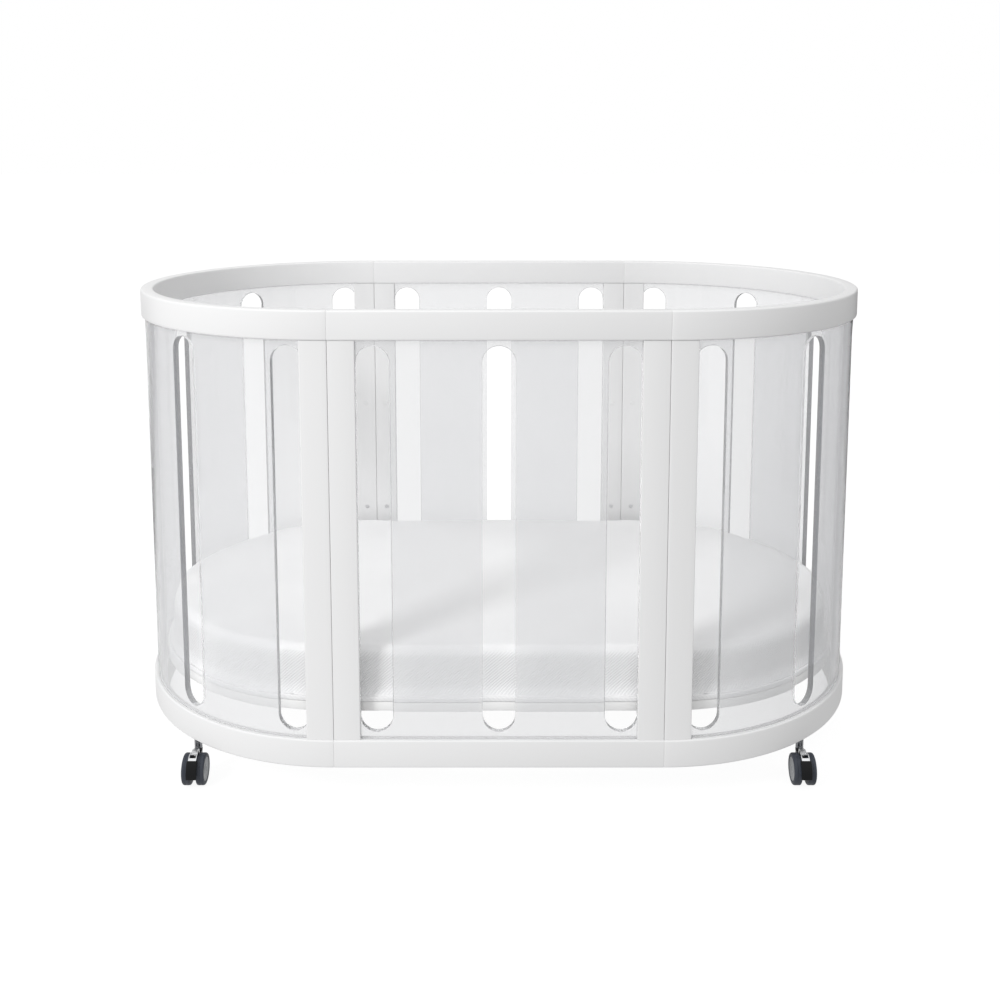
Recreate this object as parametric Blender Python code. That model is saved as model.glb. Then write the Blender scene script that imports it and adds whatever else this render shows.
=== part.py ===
"""Oval baby crib on casters: two straight sides and two half-round ends, each a module of a top
rail, a bottom rail, two posts and one slotted clear panel, round a mattress on a three-board base.

The crib stands on z = 0 with its length along X and its front at -Y. Straight and round modules
share one set of coordinates: s runs along the rail's centre line from one joint to the next,
r is the distance from the crib's long axis (or from the centre of a round end), z is the height.
"""
import math

import bmesh
import bpy
from mathutils import Matrix, Vector

# Overall size
LENGTH = 1.262
WIDTH = 0.740
HEIGHT = 0.800
# Rails
RAIL_THICKNESS = 0.022
RAIL_HEIGHT = 0.046
RAIL_ROUNDING = 0.003
RAIL_END_CHAMFER = 0.0015
RAIL_GROOVE_DEPTH = 0.010
RAIL_OVER_WHEELS = 0.0182
# Clear panels
PANEL_THICKNESS = 0.010
SLOT_WIDTH = 0.051
SLOT_TO_TOP_RAIL = 0.009
SLOT_TO_BOTTOM_RAIL = 0.012
SIDE_SLOTS = 3
SIDE_SLOT_TO_POST = 0.0006
END_SLOTS = 6
END_SLOT_BEHIND_POST = 0.0048
# Posts
POST_WIDTH = 0.042
POST_THICKNESS = 0.018
POST_EDGE_CHAMFER = 0.0012
POST_GROOVE_DEPTH = 0.014
LEVEL_HOLES_OVER_BASE = (0.024, 0.122, 0.347)
LEVEL_HOLE_RADIUS = 0.003
LEVEL_HOLE_DEPTH = 0.008
# Pins that join two neighbouring posts
JOINT_PIN_RADIUS = 0.004
JOINT_PIN_LENGTH = 0.036
JOINT_PIN_HEIGHT = 0.430
# Mattress base
BASE_HEIGHT = 0.152
BASE_THICKNESS = 0.015
BASE_TO_POST = 0.006
VENT_WIDTH = 0.018
VENT_PITCH = 0.110
MIDDLE_VENTS = 5
MIDDLE_VENT_LENGTH = 0.300
END_VENTS = 3
END_VENT_LENGTH = 0.170
CROSS_BAR_WIDTH = 0.030
CROSS_BAR_DEPTH = 0.022
BRACKET_WIDTH = 0.034
BRACKET_SHEET = 0.003
BRACKET_SHELF = 0.028
BRACKET_ABOVE_BASE = 0.033
# Mattress
MATTRESS_THICKNESS = 0.090
MATTRESS_TO_POST = 0.007
MATTRESS_TOP_ROUNDING = 0.014
MATTRESS_BOTTOM_ROUNDING = 0.006
# Casters
CASTER_ANGLE_DEG = 48.0
WHEEL_RADIUS = 0.0254
WHEEL_WIDTH = 0.013
WHEEL_TO_HOUSING = 0.0005
STEM_TO_WHEEL_BACK = 0.0004
WHEEL_BORE_DEPTH = 0.010
HOUSING_WIDTH = 0.0095
AXLE_RADIUS = 0.0025
STEM_RADIUS = 0.0055
STEM_IN_RAIL = 0.018
SPIGOT_RADIUS = 0.0030
SPIGOT_LENGTH = 0.017
BOSS_RADIUS = 0.0082
BOSS_THICKNESS = 0.0045
PEDAL_WIDTH = 0.017
PEDAL_THICKNESS = 0.0035
PEDAL_TO_WHEEL = 0.0038
PEDAL_LOW_DEG = -5.0
PEDAL_HIGH_DEG = 80.0
KNUCKLE_RADIUS = 0.0035
NECK_CLEARANCE = 0.0005
KNUCKLE_TO_BOSS = 0.0018
KNUCKLE_BELOW_WHEEL_TOP = 0.0008
# Clearances
GAP = 0.0003
JOINT_GAP = 0.0004
GROOVE_CLEARANCE = 0.0004
TURNING_CLEARANCE = 0.0003
# Fineness of the round shapes
ARC_STRIPS = 24
MATTRESS_STRIPS = 18
SLOT_END_SEGMENTS = 8
WHEEL_SIDES = 20
SHAFT_SIDES = 12

# Values that follow
R_OUTER = WIDTH / 2
R_INNER = R_OUTER - RAIL_THICKNESS
R_MIDDLE = R_OUTER - RAIL_THICKNESS / 2
END_CENTRE = (LENGTH - WIDTH) / 2
SIDE_LENGTH = 2 * (END_CENTRE - JOINT_GAP)
END_LENGTH = math.pi * R_MIDDLE
STRIP_ANGLE = math.pi / ARC_STRIPS
TOP_RAIL_Z = HEIGHT - RAIL_HEIGHT
BOTTOM_RAIL_Z = 2 * WHEEL_RADIUS + RAIL_OVER_WHEELS
BOTTOM_RAIL_TOP = BOTTOM_RAIL_Z + RAIL_HEIGHT
POST_OUTER = R_MIDDLE + POST_THICKNESS / 2
POST_INNER = R_MIDDLE - POST_THICKNESS / 2
PANEL_START = POST_WIDTH - POST_GROOVE_DEPTH + GROOVE_CLEARANCE
SIDE_SLOT_EDGE = POST_WIDTH + SIDE_SLOT_TO_POST
END_SLOT_EDGE = POST_WIDTH - END_SLOT_BEHIND_POST
LEVEL_HOLE_HEIGHTS = tuple(BASE_HEIGHT + above for above in LEVEL_HOLES_OVER_BASE)
BASE_RADIUS = POST_INNER - BASE_TO_POST
CROSS_BAR_X = SIDE_LENGTH / 2 - POST_WIDTH / 2
CROSS_BAR_TOP = BASE_HEIGHT - GAP
SHELF_TOP = CROSS_BAR_TOP - CROSS_BAR_DEPTH - GAP
MATTRESS_HEIGHT = BASE_HEIGHT + BASE_THICKNESS + GAP
HUB_Y = STEM_TO_WHEEL_BACK - WHEEL_RADIUS
HOUSING_RADIUS = WHEEL_RADIUS * 0.63
KNUCKLE_Y = -(BOSS_RADIUS + KNUCKLE_RADIUS + KNUCKLE_TO_BOSS)
KNUCKLE_HEIGHT = 2 * WHEEL_RADIUS - KNUCKLE_BELOW_WHEEL_TOP
PEDAL_RADIUS = WHEEL_RADIUS + PEDAL_TO_WHEEL

# Finish: colour, roughness, metallic
FINISHES = {
    "white_lacquer": ((0.86, 0.86, 0.86), 0.35, 0.0),
    "clear_acrylic": ((0.93, 0.95, 0.96), 0.05, 0.0),
    "steel": ((0.62, 0.63, 0.65), 0.28, 1.0),
    "white_board": ((0.82, 0.82, 0.81), 0.5, 0.0),
    "mattress_cloth": ((0.88, 0.88, 0.89), 0.9, 0.0),
    "slate_tyre": ((0.07, 0.08, 0.10), 0.55, 0.0),
    "black_plastic": ((0.02, 0.02, 0.022), 0.45, 0.0),
    "chrome": ((0.75, 0.76, 0.78), 0.12, 1.0),
}


def clear_scene():
    for old in list(bpy.data.objects):
        bpy.data.objects.remove(old, do_unlink=True)


def add_material(name, finish):
    colour, roughness, metallic = FINISHES[finish]
    material = bpy.data.materials.new(name)
    material.use_nodes = True
    shader = material.node_tree.nodes["Principled BSDF"]
    shader.inputs["Base Color"].default_value = (*colour, 1.0)
    shader.inputs["Roughness"].default_value = roughness
    shader.inputs["Metallic"].default_value = metallic
    return material


def add_object(name, mesh, finish, location=(0, 0, 0), turned=False, parent=None):
    """Adds a named sub-part; turned swings it half a turn about the crib's centre."""
    part = bpy.data.objects.new(name, mesh.copy())
    part.data.name = name
    part.data.materials.clear()
    part.data.materials.append(add_material(name, finish))
    part.location = location
    part.rotation_euler.z = math.pi if turned else 0.0
    part.parent = parent
    part.data.shade_smooth()
    part.data.set_sharp_from_angle(angle=math.radians(30))
    bpy.context.scene.collection.objects.link(part)
    return part


def mesh_from(bm):
    """Turns all faces outward and hands the mesh over."""
    bmesh.ops.recalc_face_normals(bm, faces=bm.faces)
    if bm.calc_volume(signed=True) < 0:
        bmesh.ops.reverse_faces(bm, faces=bm.faces)
    mesh = bpy.data.meshes.new("shape")
    bm.to_mesh(mesh)
    bm.free()
    return mesh


def loft(rings, closed_loop=False):
    """Skins rings of equal length; the first and last get a cap unless the loft closes on itself."""
    bm = bmesh.new()
    rows = [[bm.verts.new(point) for point in ring] for ring in rings]
    pairs = list(zip(rows, rows[1:]))
    if closed_loop:
        pairs.append((rows[-1], rows[0]))
    else:
        bm.faces.new(rows[0])
        bm.faces.new(rows[-1])
    for first, second in pairs:
        for i in range(len(first)):
            j = (i + 1) % len(first)
            bm.faces.new((first[i], first[j], second[j], second[i]))
    return mesh_from(bm)


def prism(outline, direction):
    """A flat outline pushed along a direction."""
    return loft([outline, [point + direction for point in outline]])


def cuboid(low, high):
    outline = [Vector((x, y, low[2])) for x, y in
               ((low[0], low[1]), (high[0], low[1]), (high[0], high[1]), (low[0], high[1]))]
    return prism(outline, Vector((0, 0, high[2] - low[2])))


def rod(start, axis, length, radius, sides=SHAFT_SIDES):
    """A round bar whose flats touch the circle's corners, with a corner flat to the bar's side."""
    axis = Vector(axis).normalized()
    across = axis.orthogonal().normalized()
    other = axis.cross(across)
    ring = []
    for i in range(sides):
        angle = math.tau * (i + 0.5) / sides
        ring.append(Vector(start) + radius * (math.cos(angle) * across + math.sin(angle) * other))
    return prism(ring, axis * length)


def combine(mesh, others, operation="DIFFERENCE"):
    """Cuts the other meshes from the first, or joins them to it."""
    scene = bpy.context.scene
    body = bpy.data.objects.new("body", mesh)
    scene.collection.objects.link(body)
    tools = []
    for other in others:
        tool = bpy.data.objects.new("tool", other)
        scene.collection.objects.link(tool)
        modifier = body.modifiers.new("cut", "BOOLEAN")
        modifier.operation = operation
        modifier.solver = "EXACT"
        modifier.object = tool
        tools.append(tool)
    graph = bpy.context.evaluated_depsgraph_get()
    result = bpy.data.meshes.new_from_object(body.evaluated_get(graph))
    for used in (body, *tools):
        bpy.data.objects.remove(used, do_unlink=True)
    return result


def side_point(s, r, z):
    """A point of the front side."""
    return Vector((s - SIDE_LENGTH / 2, -r, z))


def end_point(s, r, z):
    """A point of the right-hand end, on flat strips that share their edges at every radius."""
    turn = s / R_MIDDLE / STRIP_ANGLE
    strip = min(max(int(turn), 0), ARC_STRIPS - 1)
    low = strip * STRIP_ANGLE
    high = low + STRIP_ANGLE
    along = turn - strip
    x = (1 - along) * math.sin(low) + along * math.sin(high)
    y = (1 - along) * math.cos(low) + along * math.cos(high)
    return Vector((END_CENTRE + r * x, -r * y, z))


def strip_edges(length):
    """The s of every fold of a round end; a straight side has none."""
    if length == SIDE_LENGTH:
        return []
    return [i * STRIP_ANGLE * R_MIDDLE for i in range(1, ARC_STRIPS)]


def folded(outline, folds):
    """An (s, r) outline with a point wherever it crosses a fold."""
    points = []
    for (s, r), (next_s, next_r) in zip(outline, outline[1:] + outline[:1]):
        points.append((s, r))
        crossed = [fold for fold in folds if min(s, next_s) < fold < max(s, next_s)]
        for fold in sorted(crossed, reverse=next_s < s):
            points.append((fold, r + (next_r - r) * (fold - s) / (next_s - s)))
    return points


def rail_section(z, grooved_up, inset):
    """Rail outline in (r, z), with rounded corners and a groove for the panel's edge."""
    low = z + inset
    high = z + RAIL_HEIGHT - inset
    near = R_INNER + inset
    far = R_OUTER - inset
    rounding = RAIL_ROUNDING
    points = []
    corners = (((far, high), 0), ((near, high), 90), ((near, low), 180), ((far, low), 270))
    for (r, height), start in corners:
        centre_r = r - rounding if r == far else r + rounding
        centre_z = height - rounding if height == high else height + rounding
        for step in (0, 45, 90):
            angle = math.radians(start + step)
            points.append((centre_r + rounding * math.cos(angle),
                           centre_z + rounding * math.sin(angle)))
    half = PANEL_THICKNESS / 2 + GROOVE_CLEARANCE
    mouth = high if grooved_up else low
    bottom = z + RAIL_HEIGHT - RAIL_GROOVE_DEPTH if grooved_up else z + RAIL_GROOVE_DEPTH
    first, second = (half, -half) if grooved_up else (-half, half)
    groove = [(R_MIDDLE + first, mouth), (R_MIDDLE + first, bottom),
              (R_MIDDLE + second, bottom), (R_MIDDLE + second, mouth)]
    after = 3 if grooved_up else 9
    return points[:after] + groove + points[after:]


def rail(place, length, z, grooved_up):
    chamfer = RAIL_END_CHAMFER
    stations = [(0.0, chamfer), (chamfer, 0.0)]
    stations += [(s, 0.0) for s in strip_edges(length)]
    stations += [(length - chamfer, 0.0), (length, chamfer)]
    rings = []
    for s, inset in stations:
        rings.append([place(s, r, height) for r, height in rail_section(z, grooved_up, inset)])
    return loft(rings)


def slot_outline(centre, low, high):
    """A slot with round ends, in (s, z)."""
    radius = SLOT_WIDTH / 2
    points = []
    for centre_z, start in ((high - radius, 0), (low + radius, 180)):
        for i in range(SLOT_END_SEGMENTS + 1):
            angle = math.radians(start + 180 * i / SLOT_END_SEGMENTS)
            points.append((centre + radius * math.cos(angle), centre_z + radius * math.sin(angle)))
    return points


def panel(place, length, slots, first_edge):
    """A clear panel, cut flat and then folded along the round end's strips."""
    inner = R_MIDDLE - PANEL_THICKNESS / 2
    outer = R_MIDDLE + PANEL_THICKNESS / 2
    low = BOTTOM_RAIL_TOP - RAIL_GROOVE_DEPTH + GROOVE_CLEARANCE
    high = TOP_RAIL_Z + RAIL_GROOVE_DEPTH - GROOVE_CLEARANCE
    sheet = cuboid((PANEL_START, inner, low), (length - PANEL_START, outer, high))
    slot_low = BOTTOM_RAIL_TOP + SLOT_TO_BOTTOM_RAIL
    slot_high = TOP_RAIL_Z - SLOT_TO_TOP_RAIL
    first = first_edge + SLOT_WIDTH / 2
    pitch = (length - 2 * first) / (slots - 1)
    cutters = []
    for i in range(slots):
        centre = first + i * pitch
        outline = [Vector((s, inner - 0.01, z))
                   for s, z in slot_outline(centre, slot_low, slot_high)]
        cutters.append(prism(outline, Vector((0, PANEL_THICKNESS + 0.02, 0))))
    bm = bmesh.new()
    bm.from_mesh(combine(sheet, cutters))
    for fold in strip_edges(length):
        everything = bm.verts[:] + bm.edges[:] + bm.faces[:]
        bmesh.ops.bisect_plane(bm, geom=everything, dist=1e-6,
                               plane_co=(fold, 0, 0), plane_no=(1, 0, 0))
    for vert in bm.verts:
        vert.co = place(*vert.co)
    return mesh_from(bm)


def post_section():
    """Post outline in (s, r): the joint face at s = 0, the panel's groove at the other side."""
    chamfer = POST_EDGE_CHAMFER
    half = PANEL_THICKNESS / 2 + GROOVE_CLEARANCE
    groove_s = POST_WIDTH - POST_GROOVE_DEPTH
    return [
        (0, POST_INNER + chamfer), (chamfer, POST_INNER),
        (POST_WIDTH - chamfer, POST_INNER), (POST_WIDTH, POST_INNER + chamfer),
        (POST_WIDTH, R_MIDDLE - half), (groove_s, R_MIDDLE - half),
        (groove_s, R_MIDDLE + half), (POST_WIDTH, R_MIDDLE + half),
        (POST_WIDTH, POST_OUTER - chamfer), (POST_WIDTH - chamfer, POST_OUTER),
        (chamfer, POST_OUTER), (0, POST_OUTER - chamfer),
    ]


def post(place, length, at_far_joint):
    """A post at the module's first joint, or at its last one."""
    def seat(s, r, z):
        return place(length - s if at_far_joint else s, r, z)

    section = folded(post_section(), strip_edges(length))
    outline = [seat(s, r, BOTTOM_RAIL_TOP + GAP) for s, r in section]
    body = prism(outline, Vector((0, 0, TOP_RAIL_Z - BOTTOM_RAIL_TOP - 2 * GAP)))
    joint = seat(0, R_MIDDLE, JOINT_PIN_HEIGHT)
    inward = Vector((math.copysign(1, seat(POST_WIDTH, R_MIDDLE, 0).x - joint.x), 0, 0))
    bore_length = JOINT_PIN_LENGTH / 2 + 2 * GAP
    cutters = [rod(joint - 0.005 * inward, inward, bore_length + 0.005,
                   JOINT_PIN_RADIUS + TURNING_CLEARANCE)]
    for height in LEVEL_HOLE_HEIGHTS:
        mouth = seat(POST_WIDTH / 2, POST_INNER, height)
        into = (seat(POST_WIDTH / 2, POST_OUTER, height) - mouth).normalized()
        cutters.append(rod(mouth - 0.005 * into, into, LEVEL_HOLE_DEPTH + 0.005,
                           LEVEL_HOLE_RADIUS, 8))
    return combine(body, cutters)


def caster_places():
    """Stem positions on the floor, by corner; the ends' own strips carry them."""
    s = math.radians(90 - CASTER_ANGLE_DEG) * R_MIDDLE
    front = end_point(s, R_MIDDLE, 0)
    return {
        "front_right": front,
        "back_right": Vector((front.x, -front.y, 0)),
        "front_left": Vector((-front.x, front.y, 0)),
        "back_left": Vector((-front.x, -front.y, 0)),
    }


def bottom_end_rail():
    body = rail(end_point, END_LENGTH, BOTTOM_RAIL_Z, True)
    places = caster_places()
    cutters = []
    for corner in ("front_right", "back_right"):
        mouth = places[corner] + Vector((0, 0, BOTTOM_RAIL_Z - 0.005))
        radius = STEM_RADIUS + 2 * TURNING_CLEARANCE
        cutters.append(rod(mouth, (0, 0, 1), STEM_IN_RAIL + 2 * GAP + 0.005, radius))
    return combine(body, cutters)


def add_frame():
    """Rails, panels and posts: a front and a right-hand module, then both turned half a turn."""
    modules = (
        ("front", "back", side_point, SIDE_LENGTH, SIDE_SLOTS, SIDE_SLOT_EDGE),
        ("right", "left", end_point, END_LENGTH, END_SLOTS, END_SLOT_EDGE),
    )
    for name, opposite, place, length, slots, first_edge in modules:
        top = rail(place, length, TOP_RAIL_Z, False)
        bottom = rail(place, length, BOTTOM_RAIL_Z, True)
        if place is end_point:
            bottom = bottom_end_rail()
        sheet = panel(place, length, slots, first_edge)
        for label, turned in ((name, False), (opposite, True)):
            add_object(f"top_rail_{label}", top, "white_lacquer", turned=turned)
            add_object(f"bottom_rail_{label}", bottom, "white_lacquer", turned=turned)
            add_object(f"panel_{label}", sheet, "clear_acrylic", turned=turned)


def add_posts():
    first_side = post(side_point, SIDE_LENGTH, False)
    last_side = post(side_point, SIDE_LENGTH, True)
    first_end = post(end_point, END_LENGTH, False)
    last_end = post(end_point, END_LENGTH, True)
    add_object("side_post_front_left", first_side, "white_lacquer")
    add_object("side_post_back_right", first_side, "white_lacquer", turned=True)
    add_object("side_post_front_right", last_side, "white_lacquer")
    add_object("side_post_back_left", last_side, "white_lacquer", turned=True)
    add_object("end_post_front_right", first_end, "white_lacquer")
    add_object("end_post_back_left", first_end, "white_lacquer", turned=True)
    add_object("end_post_back_right", last_end, "white_lacquer")
    add_object("end_post_front_left", last_end, "white_lacquer", turned=True)


def corner_signs():
    return {"front_left": (-1, -1), "front_right": (1, -1),
            "back_left": (-1, 1), "back_right": (1, 1)}


def add_joint_pins():
    for corner, (x_sign, y_sign) in corner_signs().items():
        centre_x = x_sign * (END_CENTRE - JOINT_GAP / 2)
        start = (centre_x - JOINT_PIN_LENGTH / 2, y_sign * R_MIDDLE, JOINT_PIN_HEIGHT)
        pin = rod(start, (1, 0, 0), JOINT_PIN_LENGTH, JOINT_PIN_RADIUS)
        add_object(f"joint_pin_{corner}", pin, "steel")


def base_outline(radius, strips):
    """Right-hand half-round of a flat board, starting at the front."""
    points = []
    for i in range(strips + 1):
        angle = math.pi * i / strips
        points.append((END_CENTRE + radius * math.sin(angle), -radius * math.cos(angle)))
    return points


def vents(count, length, centre_x):
    """Round-ended cutters through a board, side by side across the crib."""
    radius = VENT_WIDTH / 2
    cutters = []
    for i in range(count):
        y = (i - (count - 1) / 2) * VENT_PITCH
        outline = []
        for side, start in ((1, -90), (-1, 90)):
            for step in (0, 45, 90, 135, 180):
                angle = math.radians(start + step)
                x = centre_x + side * (length / 2 - radius) + radius * math.cos(angle)
                outline.append(Vector((x, y + radius * math.sin(angle), BASE_HEIGHT - 0.01)))
        cutters.append(prism(outline, Vector((0, 0, BASE_THICKNESS + 0.02))))
    return cutters


def add_base():
    up = Vector((0, 0, BASE_THICKNESS))
    edge = CROSS_BAR_X - GAP / 2
    middle = cuboid((-edge, -BASE_RADIUS, BASE_HEIGHT),
                    (edge, BASE_RADIUS, BASE_HEIGHT + BASE_THICKNESS))
    middle = combine(middle, vents(MIDDLE_VENTS, MIDDLE_VENT_LENGTH, 0))
    outline = [(CROSS_BAR_X + GAP / 2, BASE_RADIUS), (CROSS_BAR_X + GAP / 2, -BASE_RADIUS)]
    outline = base_outline(BASE_RADIUS, MATTRESS_STRIPS) + outline
    end = prism([Vector((x, y, BASE_HEIGHT)) for x, y in outline], up)
    end = combine(end, vents(END_VENTS, END_VENT_LENGTH, END_CENTRE + BASE_RADIUS / 2 - 0.02))
    add_object("base_board_middle", middle, "white_board")
    add_object("base_board_right", end, "white_board")
    add_object("base_board_left", end, "white_board", turned=True)


def add_cross_bars():
    for label, sign in (("left", -1), ("right", 1)):
        x = sign * CROSS_BAR_X
        bar = cuboid((x - CROSS_BAR_WIDTH / 2, -BASE_RADIUS, CROSS_BAR_TOP - CROSS_BAR_DEPTH),
                     (x + CROSS_BAR_WIDTH / 2, BASE_RADIUS, CROSS_BAR_TOP))
        add_object(f"cross_bar_{label}", bar, "steel")


def add_brackets():
    """Steel angles on the side posts' inner faces, each with a shelf under a cross bar's end."""
    back = POST_INNER - GAP
    top = BASE_HEIGHT + BRACKET_ABOVE_BASE
    outline = [(back, SHELF_TOP - BRACKET_SHEET), (back, top), (back - BRACKET_SHEET, top),
               (back - BRACKET_SHEET, SHELF_TOP), (back - BRACKET_SHELF, SHELF_TOP),
               (back - BRACKET_SHELF, SHELF_TOP - BRACKET_SHEET)]
    for corner, (x_sign, y_sign) in corner_signs().items():
        start_x = x_sign * CROSS_BAR_X - BRACKET_WIDTH / 2
        points = [Vector((start_x, y_sign * y, z)) for y, z in outline]
        hole = rod((x_sign * CROSS_BAR_X, y_sign * (back - 0.01), LEVEL_HOLE_HEIGHTS[0]),
                   (0, y_sign, 0), 0.02, LEVEL_HOLE_RADIUS, 8)
        bracket = combine(prism(points, Vector((BRACKET_WIDTH, 0, 0))), [hole])
        add_object(f"base_bracket_{corner}", bracket, "steel")


def add_mattress():
    """A closed pad, rounded more at the top edge than at the bottom one."""
    radius = POST_INNER - MATTRESS_TO_POST
    top = MATTRESS_HEIGHT + MATTRESS_THICKNESS
    profile = []
    for i in range(3):
        angle = math.radians(45 * i)
        profile.append((MATTRESS_BOTTOM_ROUNDING * (1 - math.sin(angle)),
                        MATTRESS_HEIGHT + MATTRESS_BOTTOM_ROUNDING * (1 - math.cos(angle))))
    for i in range(4):
        angle = math.radians(30 * i)
        profile.append((MATTRESS_TOP_ROUNDING * (1 - math.cos(angle)),
                        top - MATTRESS_TOP_ROUNDING * (1 - math.sin(angle))))
    rings = []
    for inset, z in profile:
        half = base_outline(radius - inset, MATTRESS_STRIPS)
        rings.append([Vector((x, y, z)) for x, y in half] + [Vector((-x, -y, z)) for x, y in half])
    add_object("mattress", loft(rings), "mattress_cloth")


def turned_solid(profile, sides):
    """Turns an (x, r) profile about the X axis, with a flat at the lowest point of each ring."""
    bm = bmesh.new()
    rings = []
    for x, radius in profile:
        ring = []
        for i in range(sides):
            angle = math.tau * (i + 0.5) / sides - math.pi / 2
            corner = radius / math.cos(math.pi / sides)
            ring.append(bm.verts.new((x, corner * math.cos(angle), corner * math.sin(angle))))
        rings.append(ring)
    for first, second in zip(rings, rings[1:]):
        for i in range(sides):
            j = (i + 1) % sides
            bm.faces.new((first[i], first[j], second[j], second[i]))
    bm.faces.new(rings[0])
    bm.faces.new(rings[-1])
    return mesh_from(bm)


def wheel():
    """A tyre and disc in one, with a blind bore from its inner face at x = 0."""
    shoulder = 0.002
    disc = WHEEL_RADIUS * 0.74
    dish = 0.0012
    bore = AXLE_RADIUS + TURNING_CLEARANCE
    return turned_solid([
        (WHEEL_BORE_DEPTH, bore), (0, bore), (0, WHEEL_RADIUS - shoulder),
        (shoulder, WHEEL_RADIUS), (WHEEL_WIDTH - shoulder, WHEEL_RADIUS),
        (WHEEL_WIDTH, WHEEL_RADIUS - shoulder), (WHEEL_WIDTH, disc), (WHEEL_WIDTH - dish, disc - dish),
    ], WHEEL_SIDES)


def stem():
    """A shaft that turns in the rail, with a thinner spigot down into the housing."""
    shaft_low = KNUCKLE_HEIGHT + GAP
    shaft = rod((0, 0, shaft_low), (0, 0, 1), BOTTOM_RAIL_Z + STEM_IN_RAIL - shaft_low, STEM_RADIUS)
    spigot = rod((0, 0, shaft_low - SPIGOT_LENGTH), (0, 0, 1), SPIGOT_LENGTH + 0.002, SPIGOT_RADIUS)
    return combine(shaft, [spigot], "UNION")


def housing_outline():
    """The web between the wheels, in (y, z): round the axle, up to the stem and the pedal's seat."""
    top = KNUCKLE_HEIGHT - BOSS_THICKNESS + 0.001
    points = [(HUB_Y - 0.004, top - 0.004), (HUB_Y + 0.003, top)]
    points += [(BOSS_RADIUS - 0.001, top), (BOSS_RADIUS - 0.002, WHEEL_RADIUS)]
    for angle in (-30, -70, -110, -150, 170):
        turn = math.radians(angle)
        points.append((HUB_Y + HOUSING_RADIUS * math.cos(turn),
                       WHEEL_RADIUS + HOUSING_RADIUS * math.sin(turn)))
    return points


def housing():
    """Web and stem boss, bored for the axle and the stem, with a round seat for the pedal."""
    half = HOUSING_WIDTH / 2
    web = prism([Vector((-half, y, z)) for y, z in housing_outline()], Vector((HOUSING_WIDTH, 0, 0)))
    boss = rod((0, 0, KNUCKLE_HEIGHT - BOSS_THICKNESS), (0, 0, 1), BOSS_THICKNESS, BOSS_RADIUS)
    axle_bore = rod((-0.01, HUB_Y, WHEEL_RADIUS), (1, 0, 0), 0.02, AXLE_RADIUS + TURNING_CLEARANCE)
    spigot_low = KNUCKLE_HEIGHT - SPIGOT_LENGTH
    spigot_bore = rod((0, 0, spigot_low), (0, 0, 1), 0.03, SPIGOT_RADIUS + TURNING_CLEARANCE)
    seat = rod((-0.01, KNUCKLE_Y, KNUCKLE_HEIGHT), (1, 0, 0), 0.02,
               KNUCKLE_RADIUS + 2 * TURNING_CLEARANCE)
    solid = combine(web, [boss], "UNION")
    return combine(solid, [axle_bore, spigot_bore, seat])


def arc_strip(low_deg, high_deg, width):
    """A curved plate round the wheels' axis, on the side away from the stem."""
    outline = []
    for radius, angles in ((PEDAL_RADIUS + PEDAL_THICKNESS, (low_deg, high_deg)),
                           (PEDAL_RADIUS, (high_deg, low_deg))):
        steps = max(2, round(abs(high_deg - low_deg) / 12))
        for i in range(steps + 1):
            angle = math.radians(angles[0] + (angles[1] - angles[0]) * i / steps)
            outline.append(Vector((-width / 2, HUB_Y - radius * math.cos(angle),
                                   WHEEL_RADIUS + radius * math.sin(angle))))
    return prism(outline, Vector((width, 0, 0)))


def pedal():
    """Brake pedal: a wide curved tread in front of the wheels, a narrow neck and a knuckle."""
    width = HOUSING_WIDTH - 2 * NECK_CLEARANCE
    low_x = -width / 2
    middle = PEDAL_RADIUS + PEDAL_THICKNESS / 2
    neck_end = math.acos((HUB_Y - KNUCKLE_Y + KNUCKLE_RADIUS) / middle)
    neck_top = WHEEL_RADIUS + middle * math.sin(neck_end) + PEDAL_THICKNESS / 4
    tread = arc_strip(PEDAL_LOW_DEG, PEDAL_HIGH_DEG, PEDAL_WIDTH)
    neck = arc_strip(PEDAL_HIGH_DEG - 20, math.degrees(neck_end), width)
    knuckle = rod((low_x, KNUCKLE_Y, KNUCKLE_HEIGHT), (1, 0, 0), width, KNUCKLE_RADIUS)
    link = [(KNUCKLE_Y - 0.8 * KNUCKLE_RADIUS, KNUCKLE_HEIGHT),
            (KNUCKLE_Y + 0.6 * KNUCKLE_RADIUS, KNUCKLE_HEIGHT + 0.3 * KNUCKLE_RADIUS),
            (KNUCKLE_Y - 0.1 * KNUCKLE_RADIUS, neck_top),
            (KNUCKLE_Y - 1.7 * KNUCKLE_RADIUS, neck_top)]
    arm = prism([Vector((low_x + GAP / 3, y, z)) for y, z in link],
                Vector((width - 2 * GAP / 3, 0, 0)))
    shape = combine(tread, [neck, arm, knuckle], "UNION")
    shape.transform(Matrix.Translation((0, -KNUCKLE_Y, -KNUCKLE_HEIGHT)))
    return shape


def add_pivot(name, location, parent=None):
    pivot = bpy.data.objects.new(name, None)
    pivot.location = location
    pivot.parent = parent
    bpy.context.scene.collection.objects.link(pivot)
    return pivot


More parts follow.
